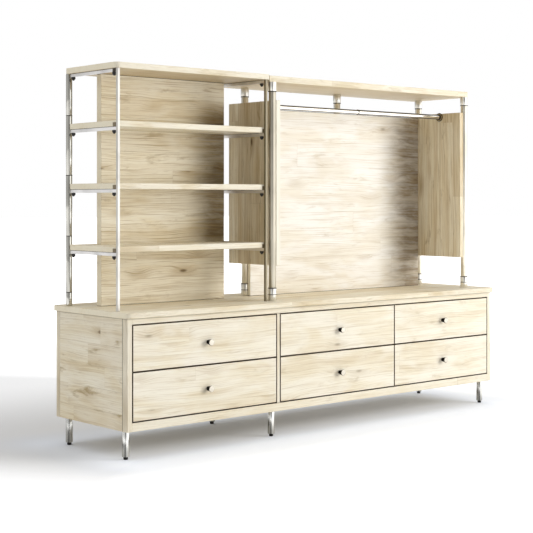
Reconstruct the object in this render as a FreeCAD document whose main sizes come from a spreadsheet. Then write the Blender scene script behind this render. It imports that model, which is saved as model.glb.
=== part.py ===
import FreeCAD, Part
import os
import re
import Sketcher

# Sideboard with a shelf unit and a hanging unit standing on its top.
# Millimetres, +Z up, the front towards -Y, the origin on the floor under the middle of the whole piece.
# Distances called setback run rearwards from the plane of the chest's front face.
# Distances called inset run inwards from the chest's left or right side.

SIZES = {
    # chest of drawers
    "chest_width": 2400,
    "chest_depth": 558,
    "chest_height": 482,
    "side_thickness": 25,
    "front_stile_depth": 36,
    "rear_stile_depth": 28,
    "top_rail_height": 27,
    "bottom_rail_height": 38,
    "rail_thickness": 22,
    "centre_stile_width": 18,
    "partition_thickness": 18,
    "bottom_thickness": 18,
    "back_thickness": 12,
    "slab_thickness": 24,
    "slab_side_overhang": 16,
    "slab_front_overhang": 20,
    "slab_rear_overhang": 14,
    "slab_corner_radius": 28,
    "edge_easing": 1.2,
    # legs
    "leg_diameter": 32,
    "leg_height": 112,
    "leg_side_inset": 28,
    "leg_front_setback": 52,
    "leg_rear_inset": 63,
    "glide_diameter": 20,
    "glide_height": 12,
    # drawers
    "front_gap": 4,
    "left_front_width": 813,
    "right_front_width": 728,
    "upper_front_height": 197,
    "front_thickness": 20,
    "box_depth": 480,
    "box_wall": 13,
    "box_foot_room": 22,
    "box_head_room": 26,
    "box_bottom_thickness": 6,
    "box_bottom_rise": 8,
    "runner_length": 460,
    "runner_thickness": 6.1,
    "runner_gap": 0.5,
    "runner_rise": 34,
    "cabinet_runner_height": 46,
    "drawer_runner_height": 34,
    "knob_reach": 28,
    "knob_diameter": 30,
    "knob_neck_diameter": 15,
    "knob_neck_height": 12,
    # shelf unit
    "shelf_post_inset": 14,
    "shelf_post_spacing": 840,
    "front_post_width": 13,
    "front_post_setback": 89,
    "rear_post_diameter": 28,
    "rear_post_setback": 474,
    "post_joint_rise": 38,
    "lowest_joint_height": 62,
    "shelf_top_height": 1044,
    "shelf_top_thickness": 26,
    "shelf_top_overhang": 2,
    "shelf_top_setback": 82,
    "shelf_top_depth": 408,
    "top_corner_radius": 20,
    "upper_shelf_height": 819,
    "middle_shelf_height": 550,
    "lower_shelf_height": 277,
    "shelf_thickness": 25,
    "shelf_end_inset": 8,
    "shelf_post_clearance": 2,
    "crossbar_thickness": 6,
    "crossbar_height": 16,
    "screw_head_width": 18,
    "screw_head_height": 16,
    "screw_post_distance": 22,
    "clip_leg": 22,
    "clip_thickness": 1.5,
    "clip_height": 17,
    "shelf_back_left_inset": 100,
    "shelf_back_right_inset": 40,
    "shelf_back_setback": 357,
    "shelf_back_thickness": 36,
    # hanging unit
    "hanging_post_diameter": 35,
    "hanging_gap": 3,
    "hanging_right_inset": 113,
    "hanging_front_setback": 89,
    "hanging_rear_setback": 421,
    "rear_left_offset": 111,
    "hanging_height": 1035,
    "collar_diameter": 40,
    "top_collar_height": 45,
    "bottom_collar_height": 60,
    "hanging_top_thickness": 30,
    "hanging_top_left_overhang": 22,
    "hanging_top_right_overhang": 35,
    "hanging_top_setback": 82,
    "hanging_top_depth": 404,
    "side_panel_thickness": 26,
    "side_panel_rise": 166,
    "side_panel_height": 784,
    "side_panel_setback": 80,
    "side_panel_depth": 354,
    "seat_gap": 0.3,
    "hanging_back_thickness": 18,
    "hanging_back_height": 932,
    "hanging_back_left_offset": 3,
    "standoff_width": 12,
    "standoff_end_distance": 95,
    "rod_diameter": 25,
    "slip_fit": 0.2,
    "rod_wall": 0.8,
    "inner_rod_wall": 1.2,
    "rod_setback": 225,
    "rod_drop": 19,
    "rod_mouth_distance": 660,
    "rod_overlap": 180,
    "flange_diameter": 46,
    "flange_thickness": 5,
}

doc = FreeCAD.newDocument("sideboard")
sizes = doc.addObject("Spreadsheet::Sheet", "sizes")
for row, (size_name, value) in enumerate(SIZES.items(), 1):
    sizes.set(f"A{row}", size_name)
    sizes.set(f"B{row}", str(value))
    sizes.setAlias(f"B{row}", size_name)
doc.recompute()

SUB_PARTS = []


# how pieces are drawn

def tied(formula):
    """The formula with each size's name pointing into the sheet, and sqrt left as it is."""
    return re.sub(r"\b([a-z][a-z_]*)\b(?!\()", r"sizes.\1", formula)


def worth(formula):
    """The value that the formula has now."""
    return float(sizes.evalExpression(tied(formula)))


def place(piece, corner, turn=None):
    """Puts the piece's own origin at corner, turned about an axis where that is given."""
    if turn:
        axis, angle = turn
        piece.Placement = FreeCAD.Placement(FreeCAD.Vector(), FreeCAD.Rotation(FreeCAD.Vector(*axis), angle))
    for letter, formula in zip("xyz", corner):
        piece.setExpression(f"Placement.Base.{letter}", tied(formula))


def outline_on(body, plane_role, points):
    """A closed outline through the points, each of its two distances held by the sheet."""
    sketch = body.newObject("Sketcher::SketchObject", body.Name + "_outline")
    plane = [feature for feature in body.Origin.OriginFeatures if feature.Role == plane_role][0]
    sketch.AttachmentSupport = (plane, [""])
    sketch.MapMode = "FlatFace"
    corners = [FreeCAD.Vector(worth(across), worth(along), 0) for across, along in points]
    following = [(index + 1) % len(points) for index in range(len(points))]
    for index, after in enumerate(following):
        sketch.addGeometry(Part.LineSegment(corners[index], corners[after]), False)
    for index, after in enumerate(following):
        sketch.addConstraint(Sketcher.Constraint("Coincident", index, 2, after, 1))
    for index, point in enumerate(points):
        for kind, formula, axis in zip(("DistanceX", "DistanceY"), point, (-2, -1)):
            if formula == "0":
                sketch.addConstraint(Sketcher.Constraint("PointOnObject", index, 1, axis))
            else:
                held = sketch.addConstraint(Sketcher.Constraint(kind, -1, 1, index, 1, worth(formula)))
                sketch.setExpression(f"Constraints[{held}]", tied(formula))
    return sketch


def extruded(name, points, height, corner, easing=None, turn=None):
    """A flat outline raised to the height, its edges broken by the easing."""
    body = doc.addObject("PartDesign::Body", name)
    pad = body.newObject("PartDesign::Pad", name + "_pad")
    pad.Profile = outline_on(body, "XY_Plane", points)
    pad.setExpression("Length", tied(height))
    if easing:
        ease(body, easing)
    place(body, corner, turn)
    return body


def ease(body, easing):
    """Breaks every edge of the body as it stands."""
    doc.recompute()
    solid = body.Tip
    eased = body.newObject("PartDesign::Chamfer", body.Name + "_eased")
    eased.Base = (solid, [""])
    eased.UseAllEdges = True
    eased.setExpression("Size", tied(easing))


def board(name, corner, length, depth, height, easing="edge_easing"):
    """A straight board from its left, front, lower corner."""
    points = [("0", "0"), (length, "0"), (length, depth), ("0", depth)]
    return extruded(name, points, height, corner, easing)


def round_ended_board(name, corner, length, depth, height, radius, ends):
    """A board whose upright corners are rounded at the ends named, left, right or both."""
    body = board(name, corner, length, depth, height, None)
    doc.recompute()
    pad = body.Tip
    middle = pad.Shape.BoundBox.Center.x
    corners = [f"Edge{number}" for number, edge in enumerate(pad.Shape.Edges, 1)
               if edge.BoundBox.ZLength > max(edge.BoundBox.XLength, edge.BoundBox.YLength)
               and ("left" if edge.BoundBox.XMin < middle else "right") in ends]
    rounded = body.newObject("PartDesign::Fillet", name + "_rounded")
    rounded.Base = (pad, corners)
    rounded.setExpression("Radius", tied(radius))
    ease(body, "edge_easing")
    return body


def turned(name, points, foot, turn=None):
    """A round piece: its half outline, as radius and height, spun about its own upright axis."""
    body = doc.addObject("PartDesign::Body", name)
    spun = body.newObject("PartDesign::Revolution", name + "_spun")
    sketch = outline_on(body, "XZ_Plane", points)
    spun.Profile = sketch
    spun.ReferenceAxis = (sketch, ["V_Axis"])
    spun.Angle = 360
    place(body, foot, turn)
    return body


def half_outline(diameter, height):
    """Half the outline of a plain round bar."""
    return [("0", "0"), (f"{diameter} / 2", "0"), (f"{diameter} / 2", height), ("0", height)]


def keep(piece, label=None):
    """Lists the piece as a sub-part under its own label."""
    piece.Label = label or piece.Name
    SUB_PARTS.append(piece)
    return piece


def keep_group(name, pieces):
    """Keeps like pieces, each a solid of its own, as one sub-part."""
    group = doc.addObject("Part::Compound", name)
    group.Links = pieces
    return keep(group)


# levels and planes that the pieces share

UNDERSIDE = "(glide_height + leg_height)"
CHEST_TOP = f"({UNDERSIDE} + chest_height)"
SLAB_TOP = f"({CHEST_TOP} + slab_thickness)"
LEFT = "(-chest_width / 2)"
RIGHT = "(chest_width / 2)"
FRONT = "((knob_reach - chest_depth - slab_rear_overhang) / 2)"
REAR = f"({FRONT} + chest_depth)"
INNER_LEFT = f"({LEFT} + side_thickness)"
INNER_RIGHT = f"({RIGHT} - side_thickness)"
INNER_WIDTH = "(chest_width - 2 * side_thickness)"
BEHIND_RAIL = f"({FRONT} + rail_thickness)"
INNER_DEPTH = "(chest_depth - rail_thickness - back_thickness)"
FLOOR_BOARD_TOP = f"({UNDERSIDE} + bottom_thickness)"
LEFT_FRONT = f"({INNER_LEFT} + front_gap)"
CENTRE_STILE = f"({LEFT_FRONT} + left_front_width + front_gap)"
MIDDLE_FRONT = f"({CENTRE_STILE} + centre_stile_width + front_gap)"
RIGHT_FRONT = f"({INNER_RIGHT} - front_gap - right_front_width)"
RIGHT_PARTITION = f"({RIGHT_FRONT} - front_gap / 2 - partition_thickness / 2)"
CENTRE_PARTITION = f"({CENTRE_STILE} + centre_stile_width / 2 - partition_thickness / 2)"
LOWER_FRONT = f"({UNDERSIDE} + bottom_rail_height + front_gap)"
UPPER_FRONT = f"({CHEST_TOP} - top_rail_height - front_gap - upper_front_height)"


# chest: framed sides, rails, partitions, bottom, back and the long top

def chest():
    """The fixed case. The sides are framed by a front and a rear stile, with a small groove at each joint."""
    stile_sides = (LEFT, INNER_RIGHT)
    keep_group("front_stiles", [
        board(f"front_stile_{number}", (side, FRONT, UNDERSIDE),
              "side_thickness", "front_stile_depth", "chest_height")
        for number, side in enumerate(stile_sides, 1)])
    keep_group("rear_stiles", [
        board(f"rear_stile_{number}", (side, f"{REAR} - rear_stile_depth", UNDERSIDE),
              "side_thickness", "rear_stile_depth", "chest_height")
        for number, side in enumerate(stile_sides, 1)])
    for name, side in zip(("left_side", "right_side"), stile_sides):
        keep(board(name, (side, f"{FRONT} + front_stile_depth", UNDERSIDE), "side_thickness",
                   "chest_depth - front_stile_depth - rear_stile_depth", "chest_height"))
    keep(board("top_rail", (INNER_LEFT, FRONT, f"{CHEST_TOP} - top_rail_height"),
               INNER_WIDTH, "rail_thickness", "top_rail_height"))
    keep(board("bottom_rail", (INNER_LEFT, FRONT, UNDERSIDE),
               INNER_WIDTH, "rail_thickness", "bottom_rail_height"))
    keep(board("centre_stile", (CENTRE_STILE, FRONT, f"{UNDERSIDE} + bottom_rail_height"),
               "centre_stile_width", "rail_thickness", "chest_height - top_rail_height - bottom_rail_height"))
    keep(board("base_bottom", (INNER_LEFT, BEHIND_RAIL, UNDERSIDE),
               INNER_WIDTH, INNER_DEPTH, "bottom_thickness", None))
    keep(board("base_back", (INNER_LEFT, f"{REAR} - back_thickness", UNDERSIDE),
               INNER_WIDTH, "back_thickness", "chest_height", None))
    for name, side in (("centre_partition", CENTRE_PARTITION), ("right_partition", RIGHT_PARTITION)):
        keep(board(name, (side, BEHIND_RAIL, FLOOR_BOARD_TOP),
                   "partition_thickness", INNER_DEPTH, "chest_height - bottom_thickness", None))
    keep(round_ended_board("base_top",
                           (f"{LEFT} - slab_side_overhang", f"{FRONT} - slab_front_overhang", CHEST_TOP),
                           "chest_width + 2 * slab_side_overhang",
                           "chest_depth + slab_front_overhang + slab_rear_overhang",
                           "slab_thickness", "slab_corner_radius", ("left", "right")))


# legs: six short steel tubes, each on a dark plastic glide

def legs():
    """Three legs along the front and three along the rear, the middle pair under the centre stile."""
    columns = (f"{LEFT} + leg_side_inset", f"{CENTRE_STILE} + centre_stile_width / 2", f"{RIGHT} - leg_side_inset")
    rows = (f"{FRONT} + leg_front_setback", f"{REAR} - leg_rear_inset")
    spots = [(column, line) for column in columns for line in rows]
    keep_group("legs", [
        turned(f"leg_{number}", half_outline("leg_diameter", "leg_height"), (*spot, "glide_height"))
        for number, spot in enumerate(spots, 1)])
    keep_group("glides", [
        turned(f"glide_{number}", half_outline("glide_diameter", "glide_height"), (*spot, "0"))
        for number, spot in enumerate(spots, 1)])


# drawers: flush front, box, pair of side runners and a turned knob

COLUMNS = {
    "left": (LEFT_FRONT, "left_front_width", INNER_LEFT, CENTRE_PARTITION),
    "middle": (MIDDLE_FRONT, f"({RIGHT_FRONT} - front_gap - {MIDDLE_FRONT})",
               f"({CENTRE_PARTITION} + partition_thickness)", RIGHT_PARTITION),
    "right": (RIGHT_FRONT, "right_front_width", f"({RIGHT_PARTITION} + partition_thickness)", INNER_RIGHT),
}
ROWS = {
    "lower": (LOWER_FRONT, f"({UPPER_FRONT} - front_gap - {LOWER_FRONT})"),
    "upper": (UPPER_FRONT, "upper_front_height"),
}
RUNNER_ROOM = "(2 * runner_thickness + runner_gap)"
BEHIND_FRONT = f"({FRONT} + front_thickness)"


def knob(name, centre, height):
    """A turned knob: a slim neck under a round head."""
    points = [
        ("0", "0"),
        ("knob_neck_diameter / 2", "0"),
        ("knob_neck_diameter / 2", "knob_neck_height"),
        ("knob_diameter / 2", "knob_neck_height"),
        ("knob_diameter / 2", "knob_reach"),
        ("0", "knob_reach"),
    ]
    return turned(name, points, (centre, FRONT, height), ((1, 0, 0), 90))


def drawer(column, line):
    """One drawer. Its box hangs between two steel runners that slide along the cabinet's own."""
    name = f"drawer_{column}_{line}"
    front_left, front_width, wall_left, wall_right = COLUMNS[column]
    front_under, front_height = ROWS[line]
    keep(board(f"{name}_front", (front_left, FRONT, front_under), front_width, "front_thickness", front_height))
    keep(knob(f"{name}_knob", f"{front_left} + {front_width} / 2", f"{front_under} + {front_height} / 2"))

    box_left = f"({wall_left} + {RUNNER_ROOM})"
    box_width = f"({wall_right} - {wall_left} - 2 * {RUNNER_ROOM})"
    box_right = f"({box_left} + {box_width})"
    box_under = f"({front_under} + box_foot_room)"
    box_height = f"({front_height} - box_foot_room - box_head_room)"
    between = f"({box_width} - 2 * box_wall)"
    box_rear = f"({BEHIND_FRONT} + box_depth - box_wall)"
    inside_left = f"{box_left} + box_wall"
    sides = [
        board(f"{name}_side_{number}", (side, BEHIND_FRONT, box_under), "box_wall", "box_depth", box_height, None)
        for number, side in enumerate((box_left, f"{box_right} - box_wall"), 1)]
    ends = [
        board(f"{name}_end_{number}", (inside_left, end, box_under), between, "box_wall", box_height, None)
        for number, end in enumerate((BEHIND_FRONT, box_rear), 1)]
    floor = board(f"{name}_floor", (inside_left, f"{BEHIND_FRONT} + box_wall", f"{box_under} + box_bottom_rise"),
                  between, "box_depth - 2 * box_wall", "box_bottom_thickness", None)
    keep_group(f"{name}_box", sides + ends + [floor])

    runner_mid = f"({box_under} + runner_rise)"
    drawer_runner_under = f"{runner_mid} - drawer_runner_height / 2"
    keep_group(f"{name}_runners", [
        board(f"{name}_runner_{number}", (side, BEHIND_FRONT, drawer_runner_under),
              "runner_thickness", "runner_length", "drawer_runner_height", None)
        for number, side in enumerate((f"{box_left} - runner_thickness", box_right), 1)])
    cabinet_runner_under = f"{runner_mid} - cabinet_runner_height / 2"
    return [
        board(f"{name}_fixed_runner_{number}", (side, BEHIND_RAIL, cabinet_runner_under),
              "runner_thickness", "runner_length", "cabinet_runner_height", None)
        for number, side in enumerate((wall_left, f"{wall_right} - runner_thickness"), 1)]


def drawers():
    """Six drawers, and the twelve fixed runners in the case."""
    fixed_runners = [runner for column in COLUMNS for line in ROWS for runner in drawer(column, line)]
    keep_group("cabinet_runners", fixed_runners)


# shelf unit: slim square posts in front, jointed round ones behind, boards on flat steel bars

SHELF_POSTS = (f"({LEFT} + shelf_post_inset)", f"({LEFT} + shelf_post_inset + shelf_post_spacing)")
SHELF_LEFT = f"({LEFT} + shelf_end_inset)"
SHELF_LENGTH = "(2 * shelf_post_inset + shelf_post_spacing - 2 * shelf_end_inset)"
SHELF_TOP_LENGTH = "(2 * shelf_post_inset + shelf_post_spacing + shelf_top_overhang)"
SHELF_FRONT = f"({FRONT} + front_post_setback + front_post_width / 2 + shelf_post_clearance)"
SHELF_REAR = f"({FRONT} + rear_post_setback - rear_post_diameter / 2 - shelf_post_clearance)"
SHELF_HEIGHTS = {"lower_shelf": "lower_shelf_height", "middle_shelf": "middle_shelf_height",
                 "upper_shelf": "upper_shelf_height"}


def shelf_posts():
    """Square front posts, and round rear posts made of lengths that screw together end to end."""
    keep_group("front_shelf_posts", [
        board(f"front_shelf_post_{number}",
              (f"{post} - front_post_width / 2", f"{FRONT} + front_post_setback - front_post_width / 2", SLAB_TOP),
              "front_post_width", "front_post_width", "shelf_top_height")
        for number, post in enumerate(SHELF_POSTS, 1)])
    joints = ["lowest_joint_height"] + [f"{height} + post_joint_rise" for height in SHELF_HEIGHTS.values()]
    keep_group("rear_shelf_posts", [
        turned(f"rear_shelf_post_{number}_{length}", half_outline("rear_post_diameter", f"{head} - ({foot})"),
               (post, f"{FRONT} + rear_post_setback", f"{SLAB_TOP} + {foot}"))
        for number, post in enumerate(SHELF_POSTS, 1)
        for length, (foot, head) in enumerate(zip(["0"] + joints, joints + ["shelf_top_height"]), 1)])


def shelf_boards():
    """Three shelves between the posts, the top board over them and the back panels that fill each bay."""
    for name, height in SHELF_HEIGHTS.items():
        keep(board(name, (SHELF_LEFT, SHELF_FRONT, f"{SLAB_TOP} + {height} - shelf_thickness"),
                   SHELF_LENGTH, f"({SHELF_REAR} - {SHELF_FRONT})", "shelf_thickness"))
    keep(round_ended_board("shelf_top",
                           (LEFT, f"{FRONT} + shelf_top_setback", f"{SLAB_TOP} + shelf_top_height"),
                           SHELF_TOP_LENGTH, "shelf_top_depth", "shelf_top_thickness",
                           "top_corner_radius", ("left",)))
    levels = ["0"] + list(SHELF_HEIGHTS.values())
    ceilings = [f"({height} - shelf_thickness)" for height in SHELF_HEIGHTS.values()] + ["shelf_top_height"]
    keep_group("shelf_back_panels", [
        board(f"shelf_back_{number}",
              (f"{SHELF_LEFT} + shelf_back_left_inset", f"{FRONT} + shelf_back_setback",
               f"{SLAB_TOP} + {level}"),
              f"{SHELF_LENGTH} - shelf_back_left_inset - shelf_back_right_inset",
              "shelf_back_thickness", f"{ceiling} - {level}")
        for number, (level, ceiling) in enumerate(zip(levels, ceilings), 1)])


def shelf_fittings():
    """Flat bars under each board's ends, screws with hexagon heads below them, and clips at the front corners."""
    board_undersides = [f"({SLAB_TOP} + {height} - shelf_thickness)" for height in SHELF_HEIGHTS.values()]
    board_undersides.append(f"({SLAB_TOP} + shelf_top_height)")
    bar_front = f"({FRONT} + front_post_setback + front_post_width / 2)"
    bar_rear = f"({FRONT} + rear_post_setback - rear_post_diameter / 2)"
    bars = []
    screws = []
    half = "screw_head_width / 2"
    rise = "screw_head_width * sqrt(3) / 6"
    hexagon = [(half, f"-{rise}"), (half, rise), ("0", f"2 * {rise}"),
               (f"-{half}", rise), (f"-{half}", f"-{rise}"), ("0", f"-2 * {rise}")]
    for underside in board_undersides:
        for post in SHELF_POSTS:
            number = len(bars) + 1
            bar_under = f"{underside} - crossbar_height"
            bars.append(board(f"crossbar_{number}", (f"{post} - crossbar_thickness / 2", bar_front, bar_under),
                              "crossbar_thickness", f"{bar_rear} - {bar_front}", "crossbar_height", None))
            for line in (f"{bar_front} + screw_post_distance", f"{bar_rear} - screw_post_distance"):
                screws.append(extruded(f"thumb_screw_{len(screws) + 1}", hexagon, "screw_head_height",
                                       (post, line, f"{bar_under} - screw_head_height")))
    keep_group("crossbars", bars)
    keep_group("thumb_screws", screws)

    clip_points = [
        ("0", "0"),
        ("clip_leg", "0"),
        ("clip_leg", "clip_thickness"),
        ("clip_thickness", "clip_thickness"),
        ("clip_thickness", "clip_leg"),
        ("0", "clip_leg"),
    ]
    clip_left = f"{SHELF_LEFT} - clip_thickness"
    clip_right = f"{SHELF_LEFT} + {SHELF_LENGTH} + clip_thickness"
    clip_front = f"{SHELF_FRONT} - clip_thickness"
    corners = ((clip_left, clip_front), (clip_right, clip_front))
    clip_sides = (f"{SHELF_POSTS[0]} - crossbar_thickness / 2 - clip_thickness",
                  f"{SHELF_POSTS[1]} + crossbar_thickness / 2")
    clips = [
        board(f"bar_clip_{number}",
              (side, f"{bar_front} + front_post_width / 2", f"{board_undersides[-1]} - crossbar_height"),
              "clip_thickness", "clip_leg", "crossbar_height", None)
        for number, side in enumerate(clip_sides, 1)]
    for underside in board_undersides[:-1]:
        for quarter, corner in enumerate(corners):
            clips.append(extruded(f"corner_clip_{len(clips) - 1}", clip_points, "clip_height",
                                  (*corner, underside), turn=((0, 0, 1), quarter * 90)))
    keep_group("corner_clips", clips)


# hanging unit: five round posts with collars, side panels, back panel, top board and a clothes rod

HANGING_TOP_LEFT = f"({LEFT} + {SHELF_TOP_LENGTH} + hanging_gap)"
HANGING_LEFT = f"({HANGING_TOP_LEFT} + hanging_top_left_overhang)"
HANGING_RIGHT = f"({RIGHT} - hanging_right_inset)"
REAR_LEFT = f"({HANGING_LEFT} + rear_left_offset)"
REAR_LINE = f"({FRONT} + hanging_rear_setback)"
HANGING_TOP = f"({SLAB_TOP} + hanging_height)"
PANEL_OFFSET = "(hanging_post_diameter / 2 + seat_gap)"
LEFT_PANEL = f"({HANGING_LEFT} + {PANEL_OFFSET})"
RIGHT_PANEL = f"({HANGING_RIGHT} - {PANEL_OFFSET} - side_panel_thickness)"
INSIDE_LEFT = f"({LEFT_PANEL} + side_panel_thickness)"


def hanging_frame():
    """Two front posts and three evenly spaced rear ones, each screwed into a collar at its foot and head."""
    front_line = f"{FRONT} + hanging_front_setback"
    spots = [(HANGING_LEFT, front_line), (HANGING_RIGHT, front_line), (REAR_LEFT, REAR_LINE),
             (f"({REAR_LEFT} + {HANGING_RIGHT}) / 2", REAR_LINE), (HANGING_RIGHT, REAR_LINE)]
    feet = [turned(f"foot_collar_{number}", half_outline("collar_diameter", "bottom_collar_height"),
                   (*spot, SLAB_TOP))
            for number, spot in enumerate(spots, 1)]
    heads = [turned(f"head_collar_{number}", half_outline("collar_diameter", "top_collar_height"),
                    (*spot, f"{HANGING_TOP} - top_collar_height"))
             for number, spot in enumerate(spots, 1)]
    keep_group("hanging_collars", feet + heads)
    tube = half_outline("hanging_post_diameter", "(hanging_height - bottom_collar_height - top_collar_height)")
    keep_group("hanging_posts", [
        turned(f"hanging_post_{number}", tube, (*spot, f"{SLAB_TOP} + bottom_collar_height"))
        for number, spot in enumerate(spots, 1)])


def hanging_boards():
    """The upright boards stand inside the posts, and the back panel stands on the top of the chest."""
    panel_under = f"{SLAB_TOP} + side_panel_rise"
    for name, side in (("hanging_side_left", LEFT_PANEL), ("hanging_side_right", RIGHT_PANEL)):
        keep(board(name, (side, f"{FRONT} + side_panel_setback", panel_under),
                   "side_panel_thickness", "side_panel_depth", "side_panel_height"))
    back_left = f"({REAR_LEFT} + hanging_back_left_offset)"
    back_front = f"{REAR_LINE} - collar_diameter / 2 - seat_gap - hanging_back_thickness"
    keep(board("hanging_back", (back_left, back_front, SLAB_TOP), f"{RIGHT_PANEL} - {back_left}",
               "hanging_back_thickness", "hanging_back_height"))
    keep(round_ended_board("hanging_top",
                           (HANGING_TOP_LEFT, f"{FRONT} + hanging_top_setback", HANGING_TOP),
                           f"{HANGING_RIGHT} - {HANGING_TOP_LEFT} + hanging_top_right_overhang",
                           "hanging_top_depth", "hanging_top_thickness", "top_corner_radius", ("right",)))
    reach = f"({REAR_LEFT} - hanging_post_diameter / 2 - seat_gap - {INSIDE_LEFT})"
    heights = (f"{panel_under} + standoff_end_distance", f"{panel_under} + side_panel_height - standoff_end_distance")
    keep_group("side_standoffs", [
        board(f"side_standoff_{number}",
              (INSIDE_LEFT, f"{REAR_LINE} - standoff_width / 2", f"{height} - standoff_width / 2"),
              reach, "standoff_width", "standoff_width", None)
        for number, height in enumerate(heights, 1)])


def clothes_rod():
    """A thinner tube pushed into a wider one, held between two dark flanges."""
    along = ((0, 1, 0), 90)
    line = f"{FRONT} + rod_setback"
    level = f"{SLAB_TOP} + side_panel_rise + side_panel_height - rod_drop"
    rod_start = f"({INSIDE_LEFT} + flange_thickness)"
    rod_end = f"({RIGHT_PANEL} - flange_thickness)"

    def tube(name, radius, wall, start, length):
        points = [(f"{radius} - {wall}", "0"), (radius, "0"), (radius, length), (f"{radius} - {wall}", length)]
        return turned(name, points, (start, line, level), along)

    inner_radius = "(rod_diameter / 2 - rod_wall - slip_fit)"
    mouth = f"({rod_start} + rod_mouth_distance)"
    keep(tube("rod_outer", "(rod_diameter / 2)", "rod_wall", mouth, f"{rod_end} - {mouth}"))
    keep(tube("rod_inner", inner_radius, "inner_rod_wall", rod_start, "rod_mouth_distance + rod_overlap"))
    keep_group("rod_flanges", [
        turned(f"rod_flange_{number}", half_outline("flange_diameter", "flange_thickness"),
               (start, line, level), along)
        for number, start in enumerate((INSIDE_LEFT, rod_end), 1)])


chest()
legs()
drawers()
shelf_posts()
shelf_boards()
shelf_fittings()
hanging_frame()
hanging_boards()
clothes_rod()
doc.recompute()

# every feature is sound before anything is written

for item in doc.Objects:
    if {"Invalid", "Error"} & set(item.State):
        raise RuntimeError(f"{item.Name} did not build: {item.State}")
for sub_part in SUB_PARTS:
    if sub_part.Shape.isNull() or not sub_part.Shape.isValid():
        raise RuntimeError(f"{sub_part.Label} has no sound shape")

os.makedirs("parts", exist_ok=True)
for sub_part in SUB_PARTS:
    sub_part.Shape.exportStep(f"parts/{sub_part.Label}.step")
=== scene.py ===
import math

import bmesh
import bpy
from mathutils import Matrix, Vector


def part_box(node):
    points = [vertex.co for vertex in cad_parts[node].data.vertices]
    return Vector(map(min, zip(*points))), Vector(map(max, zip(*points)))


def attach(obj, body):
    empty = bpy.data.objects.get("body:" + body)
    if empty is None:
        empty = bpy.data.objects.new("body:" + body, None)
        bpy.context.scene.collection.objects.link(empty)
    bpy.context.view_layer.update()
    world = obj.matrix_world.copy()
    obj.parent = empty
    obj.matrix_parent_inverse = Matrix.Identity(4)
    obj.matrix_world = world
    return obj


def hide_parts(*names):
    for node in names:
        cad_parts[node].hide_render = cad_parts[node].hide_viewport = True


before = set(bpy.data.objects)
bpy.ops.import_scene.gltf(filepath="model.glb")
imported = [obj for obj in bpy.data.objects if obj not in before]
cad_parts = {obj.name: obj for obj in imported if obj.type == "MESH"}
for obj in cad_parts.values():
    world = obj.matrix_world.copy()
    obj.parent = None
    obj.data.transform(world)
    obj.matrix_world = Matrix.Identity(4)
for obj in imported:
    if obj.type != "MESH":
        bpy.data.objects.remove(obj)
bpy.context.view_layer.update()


# The chest's long top: boards of pale limed oak glued edge to edge, the grain running along the front.
# It is planed flat, its four corners are rounded, and it lies screwed down on the case.

def paint(red, green, blue):
    """A colour as a paint chart gives it, 0 to 255 each, turned into light."""
    def light(value):
        share = value / 255
        return share / 12.92 if share <= 0.04045 else ((share + 0.055) / 1.055) ** 2.4
    return (light(red), light(green), light(blue), 1.0)


class Signal:
    """A value, colour or vector that a node gives out. Sums of values are written as sums."""

    def __init__(self, nodes, socket):
        self.nodes = nodes
        self.socket = socket

    def calculate(self, operation, first, second=0.0):
        return self.nodes.add("ShaderNodeMath", {"operation": operation}, {0: first, 1: second})

    def __add__(self, other):
        return self.calculate("ADD", self, other)

    def __radd__(self, other):
        return self.calculate("ADD", other, self)

    def __sub__(self, other):
        return self.calculate("SUBTRACT", self, other)

    def __rsub__(self, other):
        return self.calculate("SUBTRACT", other, self)

    def __mul__(self, other):
        return self.calculate("MULTIPLY", self, other)

    def __rmul__(self, other):
        return self.calculate("MULTIPLY", other, self)

    def __truediv__(self, other):
        return self.calculate("DIVIDE", self, other)

    def __pow__(self, other):
        return self.calculate("POWER", self, other)

    def floor(self):
        return self.calculate("FLOOR", self)

    def fraction(self):
        return self.calculate("FRACT", self)

    def size(self):
        return self.calculate("ABSOLUTE", self)

    def least(self, other):
        return self.calculate("MINIMUM", self, other)

    def most(self, other):
        return self.calculate("MAXIMUM", self, other)

    def above(self, limit):
        return self.calculate("GREATER_THAN", self, limit)

    def fade(self, start, end, low=0.0, high=1.0):
        """Runs smoothly from low to high as the value goes from start to end."""
        inputs = {"Value": self, "From Min": start, "From Max": end, "To Min": low, "To Max": high}
        return self.nodes.add("ShaderNodeMapRange", {"interpolation_type": "SMOOTHSTEP"}, inputs)

    def other(self, output):
        """Another output of the node that this signal comes from."""
        return Signal(self.nodes, self.socket.node.outputs[output])


class Nodes:
    """The nodes of one material, or of the room's light."""

    def __init__(self, tree):
        self.tree = tree

    def feed(self, socket, value):
        if isinstance(value, Signal):
            self.tree.links.new(value.socket, socket)
        else:
            socket.default_value = value

    def add(self, kind, settings=None, inputs=None, output=0):
        """Adds a node: its settings first, then the values or signals of its sockets."""
        made = self.tree.nodes.new(kind)
        for setting, value in (settings or {}).items():
            if setting == "stops":
                self.set_stops(made.color_ramp.elements, value)
            else:
                setattr(made, setting, value)
        for socket, value in (inputs or {}).items():
            self.feed(made.inputs[socket], value)
        return Signal(self, made.outputs[output])

    def set_stops(self, elements, stops):
        while len(elements) < len(stops):
            elements.new(1.0)
        for element, (place, colour) in zip(elements, stops):
            element.position = place
            element.color = colour


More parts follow.
